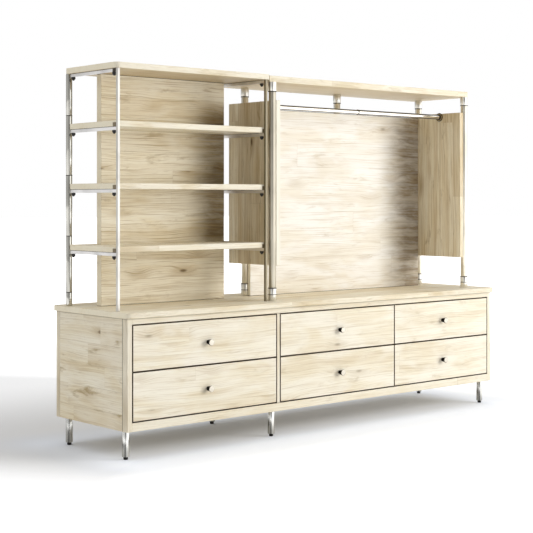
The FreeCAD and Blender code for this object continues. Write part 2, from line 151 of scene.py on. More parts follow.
class Finish(Nodes):
    """One material: its nodes, and the shader that they feed."""

    def __init__(self, name, constants=None):
        self.material = bpy.data.materials.new(name)
        self.material.use_nodes = True
        super().__init__(self.material.node_tree)
        self.shader = self.tree.nodes["Principled BSDF"]
        for socket, value in (constants or {}).items():
            self.shader.inputs[socket].default_value = value

    def axes(self):
        """Where the surface is on its piece, as three values in metres."""
        place = self.add("ShaderNodeTexCoord", output="Object")
        split = self.add("ShaderNodeSeparateXYZ", inputs={"Vector": place})
        return {letter: split.other(letter.upper()) for letter in "xyz"}

    def point(self, first, second, third):
        return self.add("ShaderNodeCombineXYZ", inputs={"X": first, "Y": second, "Z": third})

    def noise(self, point, detail=3.0, roughness=0.5, distortion=0.0, scale=1.0):
        inputs = {"Vector": point, "Scale": scale, "Detail": detail,
                  "Roughness": roughness, "Distortion": distortion}
        return self.add("ShaderNodeTexNoise", inputs=inputs)

    def stretched(self, axes, across, along, upright, detail=3.0, roughness=0.5, distortion=0.0):
        """Noise with that many marks to the metre along each axis."""
        point = self.point(axes["x"] * across, axes["y"] * along, axes["z"] * upright)
        return self.noise(point, detail, roughness, distortion)

    def even(self, axes, marks, detail=3.0, roughness=0.5):
        """Noise with the same number of marks to the metre each way."""
        return self.noise(self.point(axes["x"], axes["y"], axes["z"]), detail, roughness, scale=marks)

    def chance(self, point):
        return self.add("ShaderNodeTexWhiteNoise", {"noise_dimensions": "3D"}, {"Vector": point})

    def ramp(self, value, stops):
        return self.add("ShaderNodeValToRGB", {"stops": stops}, {"Fac": value})

    def mix(self, share, first, second, blend="MIX"):
        settings = {"data_type": "RGBA", "blend_type": blend}
        return self.add("ShaderNodeMix", settings, {0: share, 6: first, 7: second}, output=2)

    def set(self, **signals):
        for name, value in signals.items():
            self.feed(self.shader.inputs[name.replace("_", " ")], value)
        return self

    def bump(self, height, distance, strength=1.0):
        """Gives the surface a relief of that height, in metres."""
        inputs = {"Height": height, "Distance": distance, "Strength": strength}
        return self.set(Normal=self.add("ShaderNodeBump", inputs=inputs))


lime_white = paint(243, 237, 220)
filler_brown = paint(150, 128, 90)


def limed_oak(name, along, across, board=0.115, board_length=0.95, seed=0.0, lime=(0.12, 0.68), depth=1.0,
              knots=0.70, lines=1.0, patches=1.0, lime_colour=lime_white, painted_shade=None, end_shadow=None,
              tint=None):
    """Pale oak boards glued edge to edge: the grain runs along one axis and the boards lie across another.

    lime is the least and the most lime that the grain has kept, and knots the share of spots without a knot.
    depth, lines and patches say how strongly pores and knots, hair lines and darker patches show.
    The dark-line mask marks, from the axes, where shade is painted in grooves, gaps and under the top, the
    end mask where a cast shadow is painted, and the first part of tint where the piece is tinted.
    """
    wood = Finish(name, {"Specular IOR Level": 0.3})
    axes = wood.axes()
    other = axes[({"x", "y", "z"} - {along, across}).pop()]
    length, width = axes[along], axes[across]

    # each board is cut from another place in the log
    row = (width / board + seed).floor()
    lengths = length / board_length + wood.chance(wood.point(row, seed, 1.7)) * 3.0 + seed
    cell = lengths.floor()
    cut = wood.chance(wood.point(row, cell, seed))
    cut_tone = wood.chance(wood.point(cell, row, seed + 5.0))

    # knots, and the grain that swerves round them
    knot_point = wood.point(length * 4.2 + cut * 9.0, width * 12.0 + seed, other * 12.0)
    spots = wood.add("ShaderNodeTexVoronoi", {"feature": "F1"}, {"Vector": knot_point, "Scale": 1.0})
    kept = wood.add("ShaderNodeSeparateColor", inputs={"Color": spots.other("Color")}).above(knots)
    near = spots.fade(0.46, 0.0) * kept
    heart = spots.fade(0.13, 0.03) * kept
    drift = wood.noise(wood.point(length * 1.6, width * 4.0 + cut * 20.0, other * 4.0), 2.0)
    swerved = width + drift * 0.05 + near * 0.018

    def grain(drawn_out, log_place, fineness, detail, roughness=0.5, distortion=0.0):
        """Noise drawn out along a board, and different on each board."""
        point = wood.point(length * drawn_out + cut * log_place, swerved * fineness, other * fineness)
        return wood.noise(point, detail, roughness, distortion)

    # broad growth bands, narrow streaks, hair lines, open pores, and patches where lime or smoke has stayed
    bands = grain(0.8, 31.0, 24.0, 3.0, 0.55, 0.2)
    streaks = grain(2.2, 17.0, 110.0, 5.0, 0.70, 0.1)
    hairs = grain(3.4, 11.0, 260.0, 2.0)
    pores = grain(14.0, 5.0, 520.0, 2.0)
    cloud = wood.noise(wood.point(length * 2.6, width * 7.0, other * 7.0 + seed), 3.0, 0.6, 0.5)
    smoke = wood.noise(wood.point(length * 5.5 + seed, swerved * 26.0, other * 26.0), 5.0, 0.65, 0.5)

    bare = wood.ramp(bands * 0.45 + streaks * 0.55, [
        (0.33, paint(196, 174, 132)),
        (0.43, paint(220, 203, 167)),
        (0.51, paint(234, 222, 193)),
        (0.62, paint(243, 235, 213)),
    ])
    toned = wood.mix(cut_tone.fade(0.0, 1.0, 0.0, 0.20) * patches, bare, paint(206, 186, 148), "MULTIPLY")
    limed = wood.mix(cloud.fade(0.36, 0.62, *lime), toned, lime_colour)
    smoked_and_shadowed = wood.mix(smoke.fade(0.56, 0.76) * 0.55 * patches, limed, paint(178, 158, 120))
    # painted shadow: a panel's end is darkened where a side panel casts its shadow, broken up by the grain
    if end_shadow:
        shadow_figure = smoke.fade(0.34, 0.62, 0.70, 1.12) * streaks.fade(0.35, 0.62, 1.08, 0.86)
        smoked_and_shadowed = wood.mix((end_shadow(axes) * shadow_figure).least(0.9), smoked_and_shadowed, paint(104, 80, 40))
    lined = wood.mix(hairs.fade(0.52, 0.68) * 0.30 * lines, smoked_and_shadowed, paint(180, 157, 114))
    pored = wood.mix(pores.fade(0.42, 0.26) * 0.26 * depth, lined, filler_brown)
    ringed = wood.mix(near * streaks.fade(0.30, 0.58) * 0.55 * depth, pored, paint(172, 146, 102))
    knotted = wood.mix(heart * 0.72 * depth, ringed, paint(112, 90, 60))

    # the glue lines between the boards, here tight and there a little open
    edge_line = ((width / board + seed).fraction() - 0.5).size().fade(0.480, 0.498)
    end_line = (lengths.fraction() - 0.5).size().fade(0.4986, 0.4996)
    waver = wood.noise(wood.point(length * 3.0, row * 7.0, seed), 2.0).fade(0.42, 0.60, 0.15, 1.0)
    joint = edge_line.most(end_line * 0.4) * waver
    jointed = wood.mix(joint * 0.34 * depth, knotted, filler_brown)

    # the sawn ends are filled and limed over, so that no pores show there
    normal = wood.add("ShaderNodeTexCoord", output="Normal")
    facing = wood.add("ShaderNodeSeparateXYZ", inputs={"Vector": normal})
    sawn = facing.other(along.upper()).size().fade(0.72, 0.92)
    colour = wood.mix(sawn * 0.75, jointed, paint(240, 231, 206))
    if tint:
        share, tint_colour = tint
        colour = wood.mix(share(axes), colour, tint_colour)
    # painted shade: dark lines in grooves and gaps, in the drawer openings and right under the top
    if painted_shade:
        colour = wood.mix(painted_shade(axes), colour, paint(72, 56, 37))
    wood.set(Base_Color=colour, Roughness=0.58 + pores.fade(0.42, 0.26) * 0.12 - cloud * 0.08)
    wood.bump(streaks * 0.5 + pores * 0.5 - joint * 0.4 - heart * 0.5, 0.0005, 0.5)
    return wood.material


def finish_node(node, material):
    """Gives a solid of the frame its finish."""
    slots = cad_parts[node].data.materials
    slots.clear()
    slots.append(material)


finish_node("base_top", limed_oak("oak_chest_top", "x", "y", board=0.148, seed=3.0, depth=0.9))


# The chest's two ends: each a panel of short oak boards laid level, framed by a stile at front and rear.
# A fine dark line is painted down each joint, as the shade of its groove, and a line of shade is painted
# right under the long top. The stiles are single lengths of oak, painted dark only where they line the
# openings for the drawers, as shade in the gaps round the drawers.

groove_shade_width = 0.0016
face_depth = 0.0006
under_top_shade_low = 0.009
under_top_shade_high = 0.003


def rim_shade(node, rims):
    """Marks a thin rim at both ends of a solid, for each axis named in rims, where a dark line is painted as
    shade.
    """
    low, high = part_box(node)

    def mask(axes):
        edge = None
        for letter, rim in rims.items():
            least, most = getattr(low, letter), getattr(high, letter)
            past = (axes[letter] - (least + most) / 2).size() - ((most - least) / 2 - rim)
            edge = past if edge is None else edge.most(past)
        return edge.above(0.0)
    return mask


drawers = [f"drawer_{column}_{row}" for column in ("left", "middle", "right") for row in ("upper", "lower")]
fronts = [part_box(f"{drawer}_front") for drawer in drawers]
opening_low = Vector(tuple(min(low[axis] for low, high in fronts) for axis in range(3)))
opening_high = Vector(tuple(max(high[axis] for low, high in fronts) for axis in range(3)))
front_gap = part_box("drawer_left_upper_front")[0].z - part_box("drawer_left_lower_front")[1].z


def opening_shade(axes):
    """Marks what lies in the openings behind the face of the chest, up to the gap round the drawer fronts,
    where it is painted dark as shade.
    """
    middle = (opening_low + opening_high) / 2
    half = (opening_high - opening_low) / 2
    reach = front_gap + face_depth
    past_ends = (axes["x"] - middle.x).size() - (half.x + reach)
    past_sides = (axes["z"] - middle.z).size() - (half.z + reach)
    behind = axes["y"] - (opening_low.y + face_depth)
    return behind.least(0.0 - past_ends.most(past_sides)).above(0.0)


top_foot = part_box("base_top")[0].z


def shade_under_top(other_shade):
    """Adds a line of painted shade right under the long top."""
    return lambda axes: other_shade(axes).most(
        axes["z"].fade(top_foot - under_top_shade_low, top_foot - under_top_shade_high, 0.0, 0.36))


for node, seed in (("left_side", 11.0), ("right_side", 12.0)):
    groove_shade = rim_shade(node, {"y": groove_shade_width})
    finish_node(node, limed_oak(f"oak_{node}", "y", "z", board=0.096, board_length=0.42, seed=seed, depth=1.2,
                                patches=2.1, knots=0.5, painted_shade=shade_under_top(groove_shade)))
for node, seed in (("front_stiles", 21.0), ("rear_stiles", 22.0)):
    finish_node(node, limed_oak(f"oak_{node}", "z", "x", board=0.3, board_length=2.6, seed=seed, knots=0.9,
                                lime=(0.40, 0.80), patches=0.6, painted_shade=shade_under_top(opening_shade)))


# The face frame: a top and a bottom rail across the whole front, and one upright between the first two
# columns of drawers. All oak, flush with the drawer fronts, painted dark inside the openings as shade in the
# gaps round the drawers, and with a line of shade painted under the long top.

for node, seed in (("top_rail", 31.0), ("bottom_rail", 32.0)):
    finish_node(node, limed_oak(f"oak_{node}", "x", "z", board=0.5, board_length=5.2, seed=seed, knots=0.92,
                                lime=(0.35, 0.78), patches=0.6, painted_shade=shade_under_top(opening_shade)))
finish_node("centre_stile", limed_oak("oak_centre_stile", "z", "x", board=0.3, board_length=2.6, seed=33.0,
                                      lime=(0.40, 0.80), patches=0.5, knots=0.95, painted_shade=opening_shade))


# The hidden boards: the bottom, the back and the two partitions that carry the drawers' runners.
# They are of the same oak, hardly limed because nobody sees it, and are screwed to the frame.

for node, along, across, seed in (("base_bottom", "x", "y", 41.0), ("base_back", "x", "z", 42.0),
                                  ("centre_partition", "y", "z", 43.0), ("right_partition", "y", "z", 44.0)):
    finish_node(node, limed_oak(f"oak_{node}", along, across, board=0.14, seed=seed, lime=(0.05, 0.36)))


# The six legs: short lengths of polished nickel-plated steel tube, screwed into plates under the case.
# Each has its ends lightly rounded and is closed at the foot by a cap.

leg_ease = 0.0015
up = (0, 0, 1)


def nickel(name, tone=(232, 229, 221), roughness=0.20, post_shade=None):
    """Nickel plate over steel, with the fine lines left by the polishing belt."""
    metal = Finish(name, {"Metallic": 1.0})
    axes = metal.axes()
    belt = metal.stretched(axes, 500.0, 500.0, 25.0)
    touch = metal.stretched(axes, 9.0, 9.0, 9.0, 2.0)
    dull = tuple(part * 0.90 for part in tone)
    colour = metal.mix(touch.fade(0.35, 0.70), paint(*tone), paint(*dull))
    # painted shade: a post is made darker and duller where it stands in the narrow gap between the units
    if post_shade:
        colour = metal.mix(post_shade(axes), colour, paint(138, 130, 110))
    metal.set(Base_Color=colour, Roughness=roughness + belt * 0.08 + touch * 0.05)
    return metal.bump(belt, 0.0001, 0.2).material


def solids_of(node):
    """The separate solids of a node, each as its low corner, high corner and the heights of its edges."""
    work = bmesh.new()
    work.from_mesh(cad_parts[node].data)
    bmesh.ops.remove_doubles(work, verts=work.verts, dist=1e-6)
    left = set(work.verts)
    found = []
    while left:
        group, fresh = set(), {left.pop()}
        while fresh:
            group |= fresh
            fresh = {edge.other_vert(vert) for vert in fresh for edge in vert.link_edges} - group
        left -= group
        places = [vert.co for vert in group]
        low = Vector(tuple(min(place[axis] for place in places) for axis in range(3)))
        high = Vector(tuple(max(place[axis] for place in places) for axis in range(3)))
        found.append((low, high, sorted({round(place.z, 5) for place in places})))
    work.free()
    return sorted(found, key=lambda solid: tuple(round(part, 4) for part in solid[0]))


def piece(name, mesh, material, sharp_from, body="case"):
    """Puts a mesh in the scene, smooth up to that angle, riding on the body that carries it."""
    made = bpy.data.objects.new(name, mesh)
    bpy.context.scene.collection.objects.link(made)
    mesh.materials.append(material)
    mesh.shade_smooth()
    mesh.set_sharp_from_angle(angle=math.radians(sharp_from))
    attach(made, body)
    return made


def turn_into(work, outline, centre, toward, steps=48):
    """Turns an outline of (reach, radius) about a line through centre."""
    axis = Vector(toward).normalized()
    side = axis.orthogonal().normalized()
    rings = []
    for reach, radius in outline:
        middle = Vector(centre) + axis * reach
        if radius == 0:
            rings.append([work.verts.new(middle)])
            continue
        spokes = [Matrix.Rotation(2 * math.pi * step / steps, 3, axis) @ side for step in range(steps)]
        rings.append([work.verts.new(middle + spoke * radius) for spoke in spokes])
    for near, far in zip(rings, rings[1:]):
        for step in range(steps):
            after = step + 1
            corners = [near[step % len(near)], near[after % len(near)],
                       far[after % len(far)], far[step % len(far)]]
            corners = list(dict.fromkeys(corners))
            if len(corners) > 2:
                work.faces.new(corners)


def turned(name, turnings, material, body="case"):
    """One piece made of turned shapes, each an outline, a centre and the way that it points."""
    work = bmesh.new()
    for outline, centre, toward in turnings:
        turn_into(work, outline, centre, toward)
    bmesh.ops.recalc_face_normals(work, faces=work.faces)
    mesh = bpy.data.meshes.new(name)
    work.to_mesh(mesh)
    work.free()
    return piece(name, mesh, material, sharp_from=40, body=body)


def round_bar(length, radius, ease):
    """The outline of a round bar whose ends are eased."""
    return [(0, 0), (0, radius - ease), (ease * 0.3, radius - ease * 0.3), (ease, radius),
            (length - ease, radius), (length - ease * 0.3, radius - ease * 0.3),
            (length, radius - ease), (length, 0)]


def foot_of(low, high):
    return ((low.x + high.x) / 2, (low.y + high.y) / 2, low.z)


def standing(node, outline, *sizes):
    """Turned shapes in the places of a node's solids, drawn from their heights and radii and the sizes."""
    return [(outline(high.z - low.z, (high.x - low.x) / 2, *sizes), foot_of(low, high), up)
            for low, high, levels in solids_of(node)]


def dress(node, name, turnings, material, body="case"):
    """Puts a turned piece in the place of a node."""
    made = turned(name, turnings, material, body)
    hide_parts(node)


dress("legs", "steel_legs", standing("legs", round_bar, leg_ease),
      nickel("nickel_legs", (222, 222, 218), 0.14))


# The glides: feet of black moulded plastic with a rounded sole, one pressed into the foot of each leg.
# The sole keeps the steel off the floor, and its rim stands out a little past the neck in the leg.

def black_moulding(name, roughness=0.46):
    """Black moulded plastic with a fine spark-eroded texture."""
    black = Finish(name, {"Specular IOR Level": 0.45})
    axes = black.axes()
    grit = black.even(axes, 900.0)
    cloud = black.even(axes, 40.0, 2.0)
    black.set(Base_Color=black.mix(cloud, paint(20, 19, 18), paint(36, 34, 32)),
              Roughness=roughness + grit * 0.12)
    return black.bump(grit, 0.0002, 0.4).material


def glide_outline(height, radius):
    sole = height * 0.35
    neck = radius * 0.86
    return [(0, 0), (0, radius * 0.78), (sole * 0.3, radius * 0.95), (sole, radius), (height * 0.8, radius),
            (height * 0.85, neck), (height, neck), (height, 0)]


dress("glides", "moulded_glides", standing("glides", glide_outline),
      black_moulding("black_glides"))


# The six drawer fronts: solid oak, grain level, each cut from boards of its own, flush in the face frame.
# Their edges are broken, and a dark rim is painted on them as shade in the gap round each, so that the gap
# reads as a crisp line.
# The columns further right are limed a little more, which paints them lighter, as the key light falls
# brighter on the right.

front_rim_shade = 0.0018
for number, drawer in enumerate(drawers):
    node = f"{drawer}_front"
    # painted light: the further right a column, the more it is limed, so that it renders lighter
    column = number // 2
    finish_node(node, limed_oak(f"oak_{drawer}", "x", "z", board=0.104, board_length=1.9,
                                seed=51.3 + 1.7 * number, depth=0.7,
                                lime=(0.24 + 0.04 * column, 0.74 + 0.02 * column), knots=0.66,
                                patches=0.75, lime_colour=paint(246, 241, 227),
                                painted_shade=rim_shade(node, {"x": front_rim_shade, "z": front_rim_shade})))


# The drawer boxes: thin birch boards, clear lacquered, with a plywood floor let in above their lower edge.
# The boards are glued at the corners, and the oak front is screwed on from inside the box.

def birch(name):
    """Plain birch with faint figure, under clear lacquer."""
    wood = Finish(name, {"Coat Roughness": 0.3, "Coat Weight": 0.15})
    axes = wood.axes()
    figure = wood.stretched(axes, 3.0, 3.0, 40.0, 4.0, 0.6, 0.4)
    fleck = wood.stretched(axes, 30.0, 30.0, 400.0, 2.0)
    stops = [(0.35, paint(206, 178, 134)), (0.60, paint(231, 209, 170))]
    wood.set(Base_Color=wood.ramp(figure * 0.8 + fleck * 0.2, stops), Roughness=0.42 + fleck * 0.15)
    return wood.bump(figure, 0.0003, 0.3).material


box_birch = birch("birch_drawer_boxes")
for drawer in drawers:
    finish_node(f"{drawer}_box", box_birch)


# The runners: bright zinc-plated steel, drawn to shape. One of each pair is screwed to the case and the
# other to the side of the drawer box, which slides along it.

def zinc(name):
    """Bright zinc plate, slightly cloudy."""
    metal = Finish(name, {"Metallic": 1.0})
    bloom = metal.even(metal.axes(), 60.0)
    colour = metal.mix(bloom.fade(0.3, 0.7), paint(176, 178, 180), paint(146, 149, 153))
    return metal.set(Base_Color=colour, Roughness=0.28 + bloom * 0.2).material


runner_zinc = zinc("zinc_runners")
finish_node("cabinet_runners", runner_zinc)
for drawer in drawers:
    finish_node(f"{drawer}_runners", runner_zinc)


# The knobs: turned from solid bar, flaring like a trumpet from a small foot to a broad, slightly crowned
# face. The flank is blackened, and the face and its rim are polished bright. A screw through the front
# holds each.

knob_rim_share = 0.05


def knob_metal(name, rim_place):
    """Blackened metal, polished bright from the rim outwards."""
    metal = Finish(name, {"Specular IOR Level": 0.03})
    axes = metal.axes()
    bright = (rim_place - axes["y"]).fade(-0.0004, 0.0004)
    belt = metal.stretched(axes, 400.0, 60.0, 400.0)
    metal.set(Base_Color=metal.mix(bright, paint(9, 6, 3), paint(194, 188, 175)),
              Metallic=bright * 0.9, Roughness=0.34 - bright * 0.12 + belt * 0.06)
    return metal.bump(belt, 0.0001, 0.2).material


def knob_outline(reach, head):
    foot = head * 0.60
    rim_reach = reach * 0.90
    shares = [step / 10 for step in range(1, 11)]
    flank = [(rim_reach * share, foot + (head - foot) * share ** 1.1) for share in shares]
    turns = [math.pi / 2 * step / 8 for step in range(1, 8)]
    face = [(rim_reach + (reach - rim_reach) * math.sin(turn), head * (0.86 + 0.14 * math.cos(turn)))
            for turn in turns]
    return [(0, 0), (0, foot)] + flank + face + [(reach, head * 0.5), (reach, 0)]


for drawer in drawers:
    low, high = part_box(f"{drawer}_knob")
    reach = high.y - low.y
    centre = ((low.x + high.x) / 2, high.y, (low.z + high.z) / 2)
    dress(f"{drawer}_knob", f"{drawer}_turned_knob",
          [(knob_outline(reach, (high.x - low.x) / 2), centre, (0, -1, 0))],
          knob_metal(f"knob_metal_{drawer}", low.y + reach * knob_rim_share), drawer)


# The shelf unit's front posts: slim square steel tube with eased edges, nickel plated and finely brushed.
# They stand on the chest and are screwed to the bars. The one on the right is painted darker, as shade in the
# narrow gap beside the hanging unit.

def shaded_right_post(axes):
    """Marks the post on the right, which is painted darker as shade."""
    low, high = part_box("front_shelf_posts")
    return (axes["x"] - (low.x + high.x) / 2).above(0.0)


finish_node("front_shelf_posts", nickel("nickel_front_posts", (208, 205, 198), 0.28, shaded_right_post))


# The shelf unit's rear posts: polished round tube in lengths that screw together.
# A thin black washer stands in each joint, a hair wider than the tube.

washer_height = 0.0032
washer_step = 0.0004
post_ease = 0.0008


def dark_rubber(name):
    """Dark rubber with a dusty bloom."""
    rubber = Finish(name, {"Specular IOR Level": 0.3})
    bloom = rubber.even(rubber.axes(), 200.0)
    return rubber.set(Base_Color=rubber.mix(bloom, paint(26, 24, 20), paint(52, 48, 40)),
                      Roughness=0.55 + bloom * 0.2).material


def washer(place, height, radius):
    """A thin ring round a post at that height."""
    outline = [(0, 0), (0, radius), (washer_height, radius), (washer_height, 0)]
    return (outline, (place[0], place[1], height - washer_height / 2), up)


washer_rubber = dark_rubber("rubber_washers")
tubes, post_washers = [], []
for low, high, levels in solids_of("rear_shelf_posts"):
    radius = (high.x - low.x) / 2
    place = foot_of(low, high)
    for foot, head in zip(levels, levels[1:]):
        tubes.append((round_bar(head - foot, radius, post_ease), (place[0], place[1], foot), up))
    post_washers += [washer(place, level, radius + washer_step) for level in levels[1:-1]]
dress("rear_shelf_posts", "jointed_posts", tubes,
      nickel("nickel_rear_posts", (194, 192, 184), 0.05))
turned("post_washers", post_washers, washer_rubber)


# The shelves and the unit's top: oak boards with the grain along them, sanded and limed like the chest.
# They lie on the bars, and screws hold them from below. The underside of the top is painted darker and
# browner, as shade under it.

underside_depth = 0.0012


def shaded_underside(node):
    """A painted shade for the underside of a board: where it lies, and its colour."""
    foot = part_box(node)[0].z
    return (lambda axes: (foot + underside_depth - axes["z"]).fade(0.0, 0.001) * 0.5), paint(196, 171, 124)


for node, seed, tint in (("lower_shelf", 61.0, None), ("middle_shelf", 62.4, None),
                         ("upper_shelf", 63.1, None), ("shelf_top", 64.7, shaded_underside("shelf_top"))):
    finish_node(node, limed_oak(f"oak_{node}", "x", "y", board=0.12, seed=seed, lime=(0.24, 0.76), depth=0.9,
                                patches=0.8, knots=0.8, tint=tint))


# The shelf unit's back panels: one thick oak panel in each bay, of narrow level boards, with more smoke
# and knots left in them than in the fronts. A dark line is painted at each one's top and foot, as shade where
# it meets the boards, and next to the hanging unit they are painted darker, as the shadow of its side panel.

backs_low, backs_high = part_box("shelf_back_panels")
panel_groove_shade = 0.002
end_shadow_depth = 0.001
end_shadow_share = 0.72
corner_shadow_width = 0.26
corner_shadow_full = 0.06


def corner_shadow(axes):
    """Marks the front of the panels next to the hanging unit, where the shadow of its side panel is painted.

    The painted shadow runs from the lower shelf to a little above the upper one.
    """
    face = (backs_low.y + end_shadow_depth - axes["y"]).above(0.0)
    near_end = axes["x"].fade(backs_high.x - corner_shadow_width, backs_high.x - corner_shadow_full) * face
    low_shelf, high_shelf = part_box("lower_shelf")[1].z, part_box("upper_shelf")[1].z
    over_low_shelf = axes["z"].fade(low_shelf - 0.02, low_shelf + 0.05)
    return near_end * over_low_shelf * axes["z"].fade(high_shelf + 0.16, high_shelf + 0.02) * end_shadow_share


finish_node("shelf_back_panels",
            limed_oak("oak_shelf_backs", "x", "z", board=0.083, board_length=1.6, seed=65.0,
                      lime=(0.12, 0.60), depth=1.3, patches=1.3, lines=2.4, knots=0.6,
                      painted_shade=rim_shade("shelf_back_panels", {"z": panel_groove_shade}), end_shadow=corner_shadow))


# The flat steel bars under the ends of each board, from front post to rear post.
# A strip of dark felt lies between each bar and its board, put there as painted shade for the gap between
# them.

shade_strip_height = 0.0018
bar_bevel = 0.0006
shade_strip_bevel = 0.0003


def bevelled_boxes(name, boxes, bevel, material):
    """One piece made of plain bars with bevelled edges."""
    work = bmesh.new()
    for low, high in boxes:
        for vert in bmesh.ops.create_cube(work, size=1.0)["verts"]:
            vert.co = Vector(tuple(low[axis] + (high[axis] - low[axis]) * (vert.co[axis] + 0.5)
                                   for axis in range(3)))
    bmesh.ops.bevel(work, geom=work.edges[:], offset=bevel, segments=2, affect="EDGES")
    mesh = bpy.data.meshes.new(name)
    work.to_mesh(mesh)
    work.free()
    made = piece(name, mesh, material, sharp_from=35)
    return made


def shade_felt(name):
    """Dark wool felt with a fuzzy grain, for the strips that paint the shade under the boards."""
    wool = Finish(name, {"Specular IOR Level": 0.1, "Sheen Weight": 0.2})
    fuzz = wool.even(wool.axes(), 1200.0, 4.0, 0.7)
    wool.set(Base_Color=wool.mix(fuzz, paint(44, 35, 22), paint(82, 68, 46)), Roughness=0.9 - fuzz * 0.05)
    return wool.bump(fuzz, 0.0006, 0.6).material


bars = solids_of("crossbars")
steel_parts = [(low, Vector((high.x, high.y, high.z - shade_strip_height))) for low, high, levels in bars]
# painted shade: a dark strip in the gap between each bar and its board
shade_strip_parts = [(Vector((low.x, low.y, high.z - shade_strip_height)), high) for low, high, levels in bars]
steel_bars = bevelled_boxes("steel_crossbars", steel_parts, bar_bevel,
                            nickel("nickel_crossbars", (240, 238, 236), 0.34))
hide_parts("crossbars")
bevelled_boxes("shade_felt_strips", shade_strip_parts, shade_strip_bevel, shade_felt("shade_dark_felt"))


# The screws below the bars: black moulded heads with a knurled grip and a tapering nose.
# Each is turned up by hand through a bar and into the board that rests on it.

def screw_outline(height, radius):
    grip = height * 0.58
    chamfer = radius * 0.92
    return [(0, 0), (0, radius * 0.30), (height - grip, chamfer), (height - grip * 0.92, radius),
            (height - grip * 0.12, radius), (height, chamfer), (height, 0)]


dress("thumb_screws", "knurled_screws", standing("thumb_screws", screw_outline),
      black_moulding("black_screws", 0.36))


# The clips: small bronzed steel angles screwed round the shelves' front corners, and under the unit's top
# two plates, which hold its bars and are painted darker, as shade under the top.

def bronzed(name):
    """Steel browned in oil, painted darker where it sits high up under the top, as shade."""
    steel = Finish(name, {"Specular IOR Level": 0.4})
    axes = steel.axes()
    cloud = steel.even(axes, 90.0)
    tone = steel.mix(cloud, paint(112, 99, 74), paint(138, 124, 96))
    shaded_high_up = (axes["z"] - (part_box("shelf_top")[0].z - 0.05)).above(0.0)
    steel.set(Base_Color=steel.mix(shaded_high_up, tone, paint(52, 42, 27)), Roughness=0.42 + cloud * 0.16)
    return steel.bump(cloud, 0.0002, 0.3).material


finish_node("corner_clips", bronzed("bronzed_clips"))


# The hanging unit's frame: five stout polished posts, each screwed into a wider collar at foot and head.
# Black washers part the posts from the collars and halve the collars at the foot. The post at the front
# left is painted duller than the others, as shade in the narrow gap beside the shelf unit.

collar_ease = 0.0014


def shaded_corner_post(axes):
    """Marks the post at the front left, which is painted duller as shade."""
    low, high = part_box("hanging_posts")
    at_left = ((low.x + high.x) / 2 - axes["x"]).above(0.0)
    in_front = ((low.y + high.y) / 2 - axes["y"]).above(0.0)
    return at_left * in_front * 0.55


dress("hanging_collars", "post_collars", standing("hanging_collars", round_bar, collar_ease),
      nickel("nickel_collars", (234, 231, 222), 0.24))
dress("hanging_posts", "round_posts", standing("hanging_posts", round_bar, post_ease),
      nickel("nickel_hanging_posts", (236, 230, 214), 0.30, shaded_corner_post))
slab_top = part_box("base_top")[1].z
collar_washers = []
for low, high, levels in solids_of("hanging_collars"):
    radius = (high.x - low.x) / 2 + washer_step
    at_foot = low.z < slab_top + 0.01
    heights = (high.z, (low.z + high.z) / 2) if at_foot else (low.z,)
    collar_washers += [washer(foot_of(low, high), height, radius) for height in heights]
turned("collar_washers", collar_washers, washer_rubber)


# The standoffs: two short square bars of nickel-plated steel behind the left side panel.
# They are screwed to its rear post and hold the panel off it.

finish_node("side_standoffs", nickel("nickel_standoffs"))


# The hanging unit's side panels: oak with the grain upright, hardly limed, so that it looks browner.
# Each is fixed between a front and a rear post, clear of the chest's top. The front edge of the left one
# was limed nearly white.

sides_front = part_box("hanging_side_left")[0].y
limed_depth = 0.0016


def limed_front_edge(axes):
    """Marks the front edge of the left panel."""
    return (sides_front + limed_depth - axes["y"]).fade(0.0, 0.001) * 0.8


limed_edge = (limed_front_edge, paint(252, 247, 232))
for node, seed, tint in (("hanging_side_left", 71.0, limed_edge), ("hanging_side_right", 72.6, None)):
    finish_node(node, limed_oak(f"oak_{node}", "z", "y", board=0.09, board_length=2.4, seed=seed, depth=1.4,
                                patches=2.0, lines=1.8, lime=(0.0, 0.24), knots=0.8, tint=tint))


# The hanging unit's back: one large oak panel of level boards, heavily limed, in front of the rear posts.
# It stands on the chest top and is screwed to the posts. A dark line is painted at its top and foot, as shade
# where it meets the boards, and its right end is painted darker, as the shadow of the right side panel.

back_low, back_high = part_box("hanging_back")
back_shadow_width = 0.34
back_shadow_full = 0.10


def back_end_shadow(axes):
    """Marks the right end of the back's face, where the shadow of the right side panel is painted."""
    face = (back_low.y + end_shadow_depth - axes["y"]).above(0.0)
    near_end = axes["x"].fade(back_high.x - back_shadow_width, back_high.x - back_shadow_full)
    return near_end * face * end_shadow_share


finish_node("hanging_back",
            limed_oak("oak_hanging_back", "x", "z", board=0.116, board_length=2.6, seed=73.0,
                      lime=(0.60, 0.96), depth=0.8, patches=0.8, lines=1.15, knots=0.6,
                      lime_colour=paint(251, 248, 241),
                      painted_shade=rim_shade("hanging_back", {"z": panel_groove_shade}), end_shadow=back_end_shadow))


# The hanging unit's top: oak boards with the grain along them, limed like the shelf unit's top and with the
# same painted shade below. It rests on the five head collars and lies flush with the top beside it.

finish_node("hanging_top", limed_oak("oak_hanging_top", "x", "y", board=0.12, seed=74.0, lime=(0.24, 0.76),
                                    patches=0.8, knots=0.8, tint=shaded_underside("hanging_top")))


# The clothes rod: a polished tube pushed into a wider one on its right, which has a narrow rolled bead
# round its mouth. Both are nickel-plated steel, and the side panels hold them.

rod_low, rod_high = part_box("rod_outer")
rod_radius = (rod_high.z - rod_low.z) / 2
rod_middle = ((rod_low.y + rod_high.y) / 2, (rod_low.z + rod_high.z) / 2)
inner_low, inner_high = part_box("rod_inner")
fit_gap = 0.0002
inner_bore = (inner_high.z - inner_low.z) / 2 + fit_gap
outer_bore = rod_radius + fit_gap
rightward = (1, 0, 0)
bead_width = 0.004
bead_rise = 0.0014


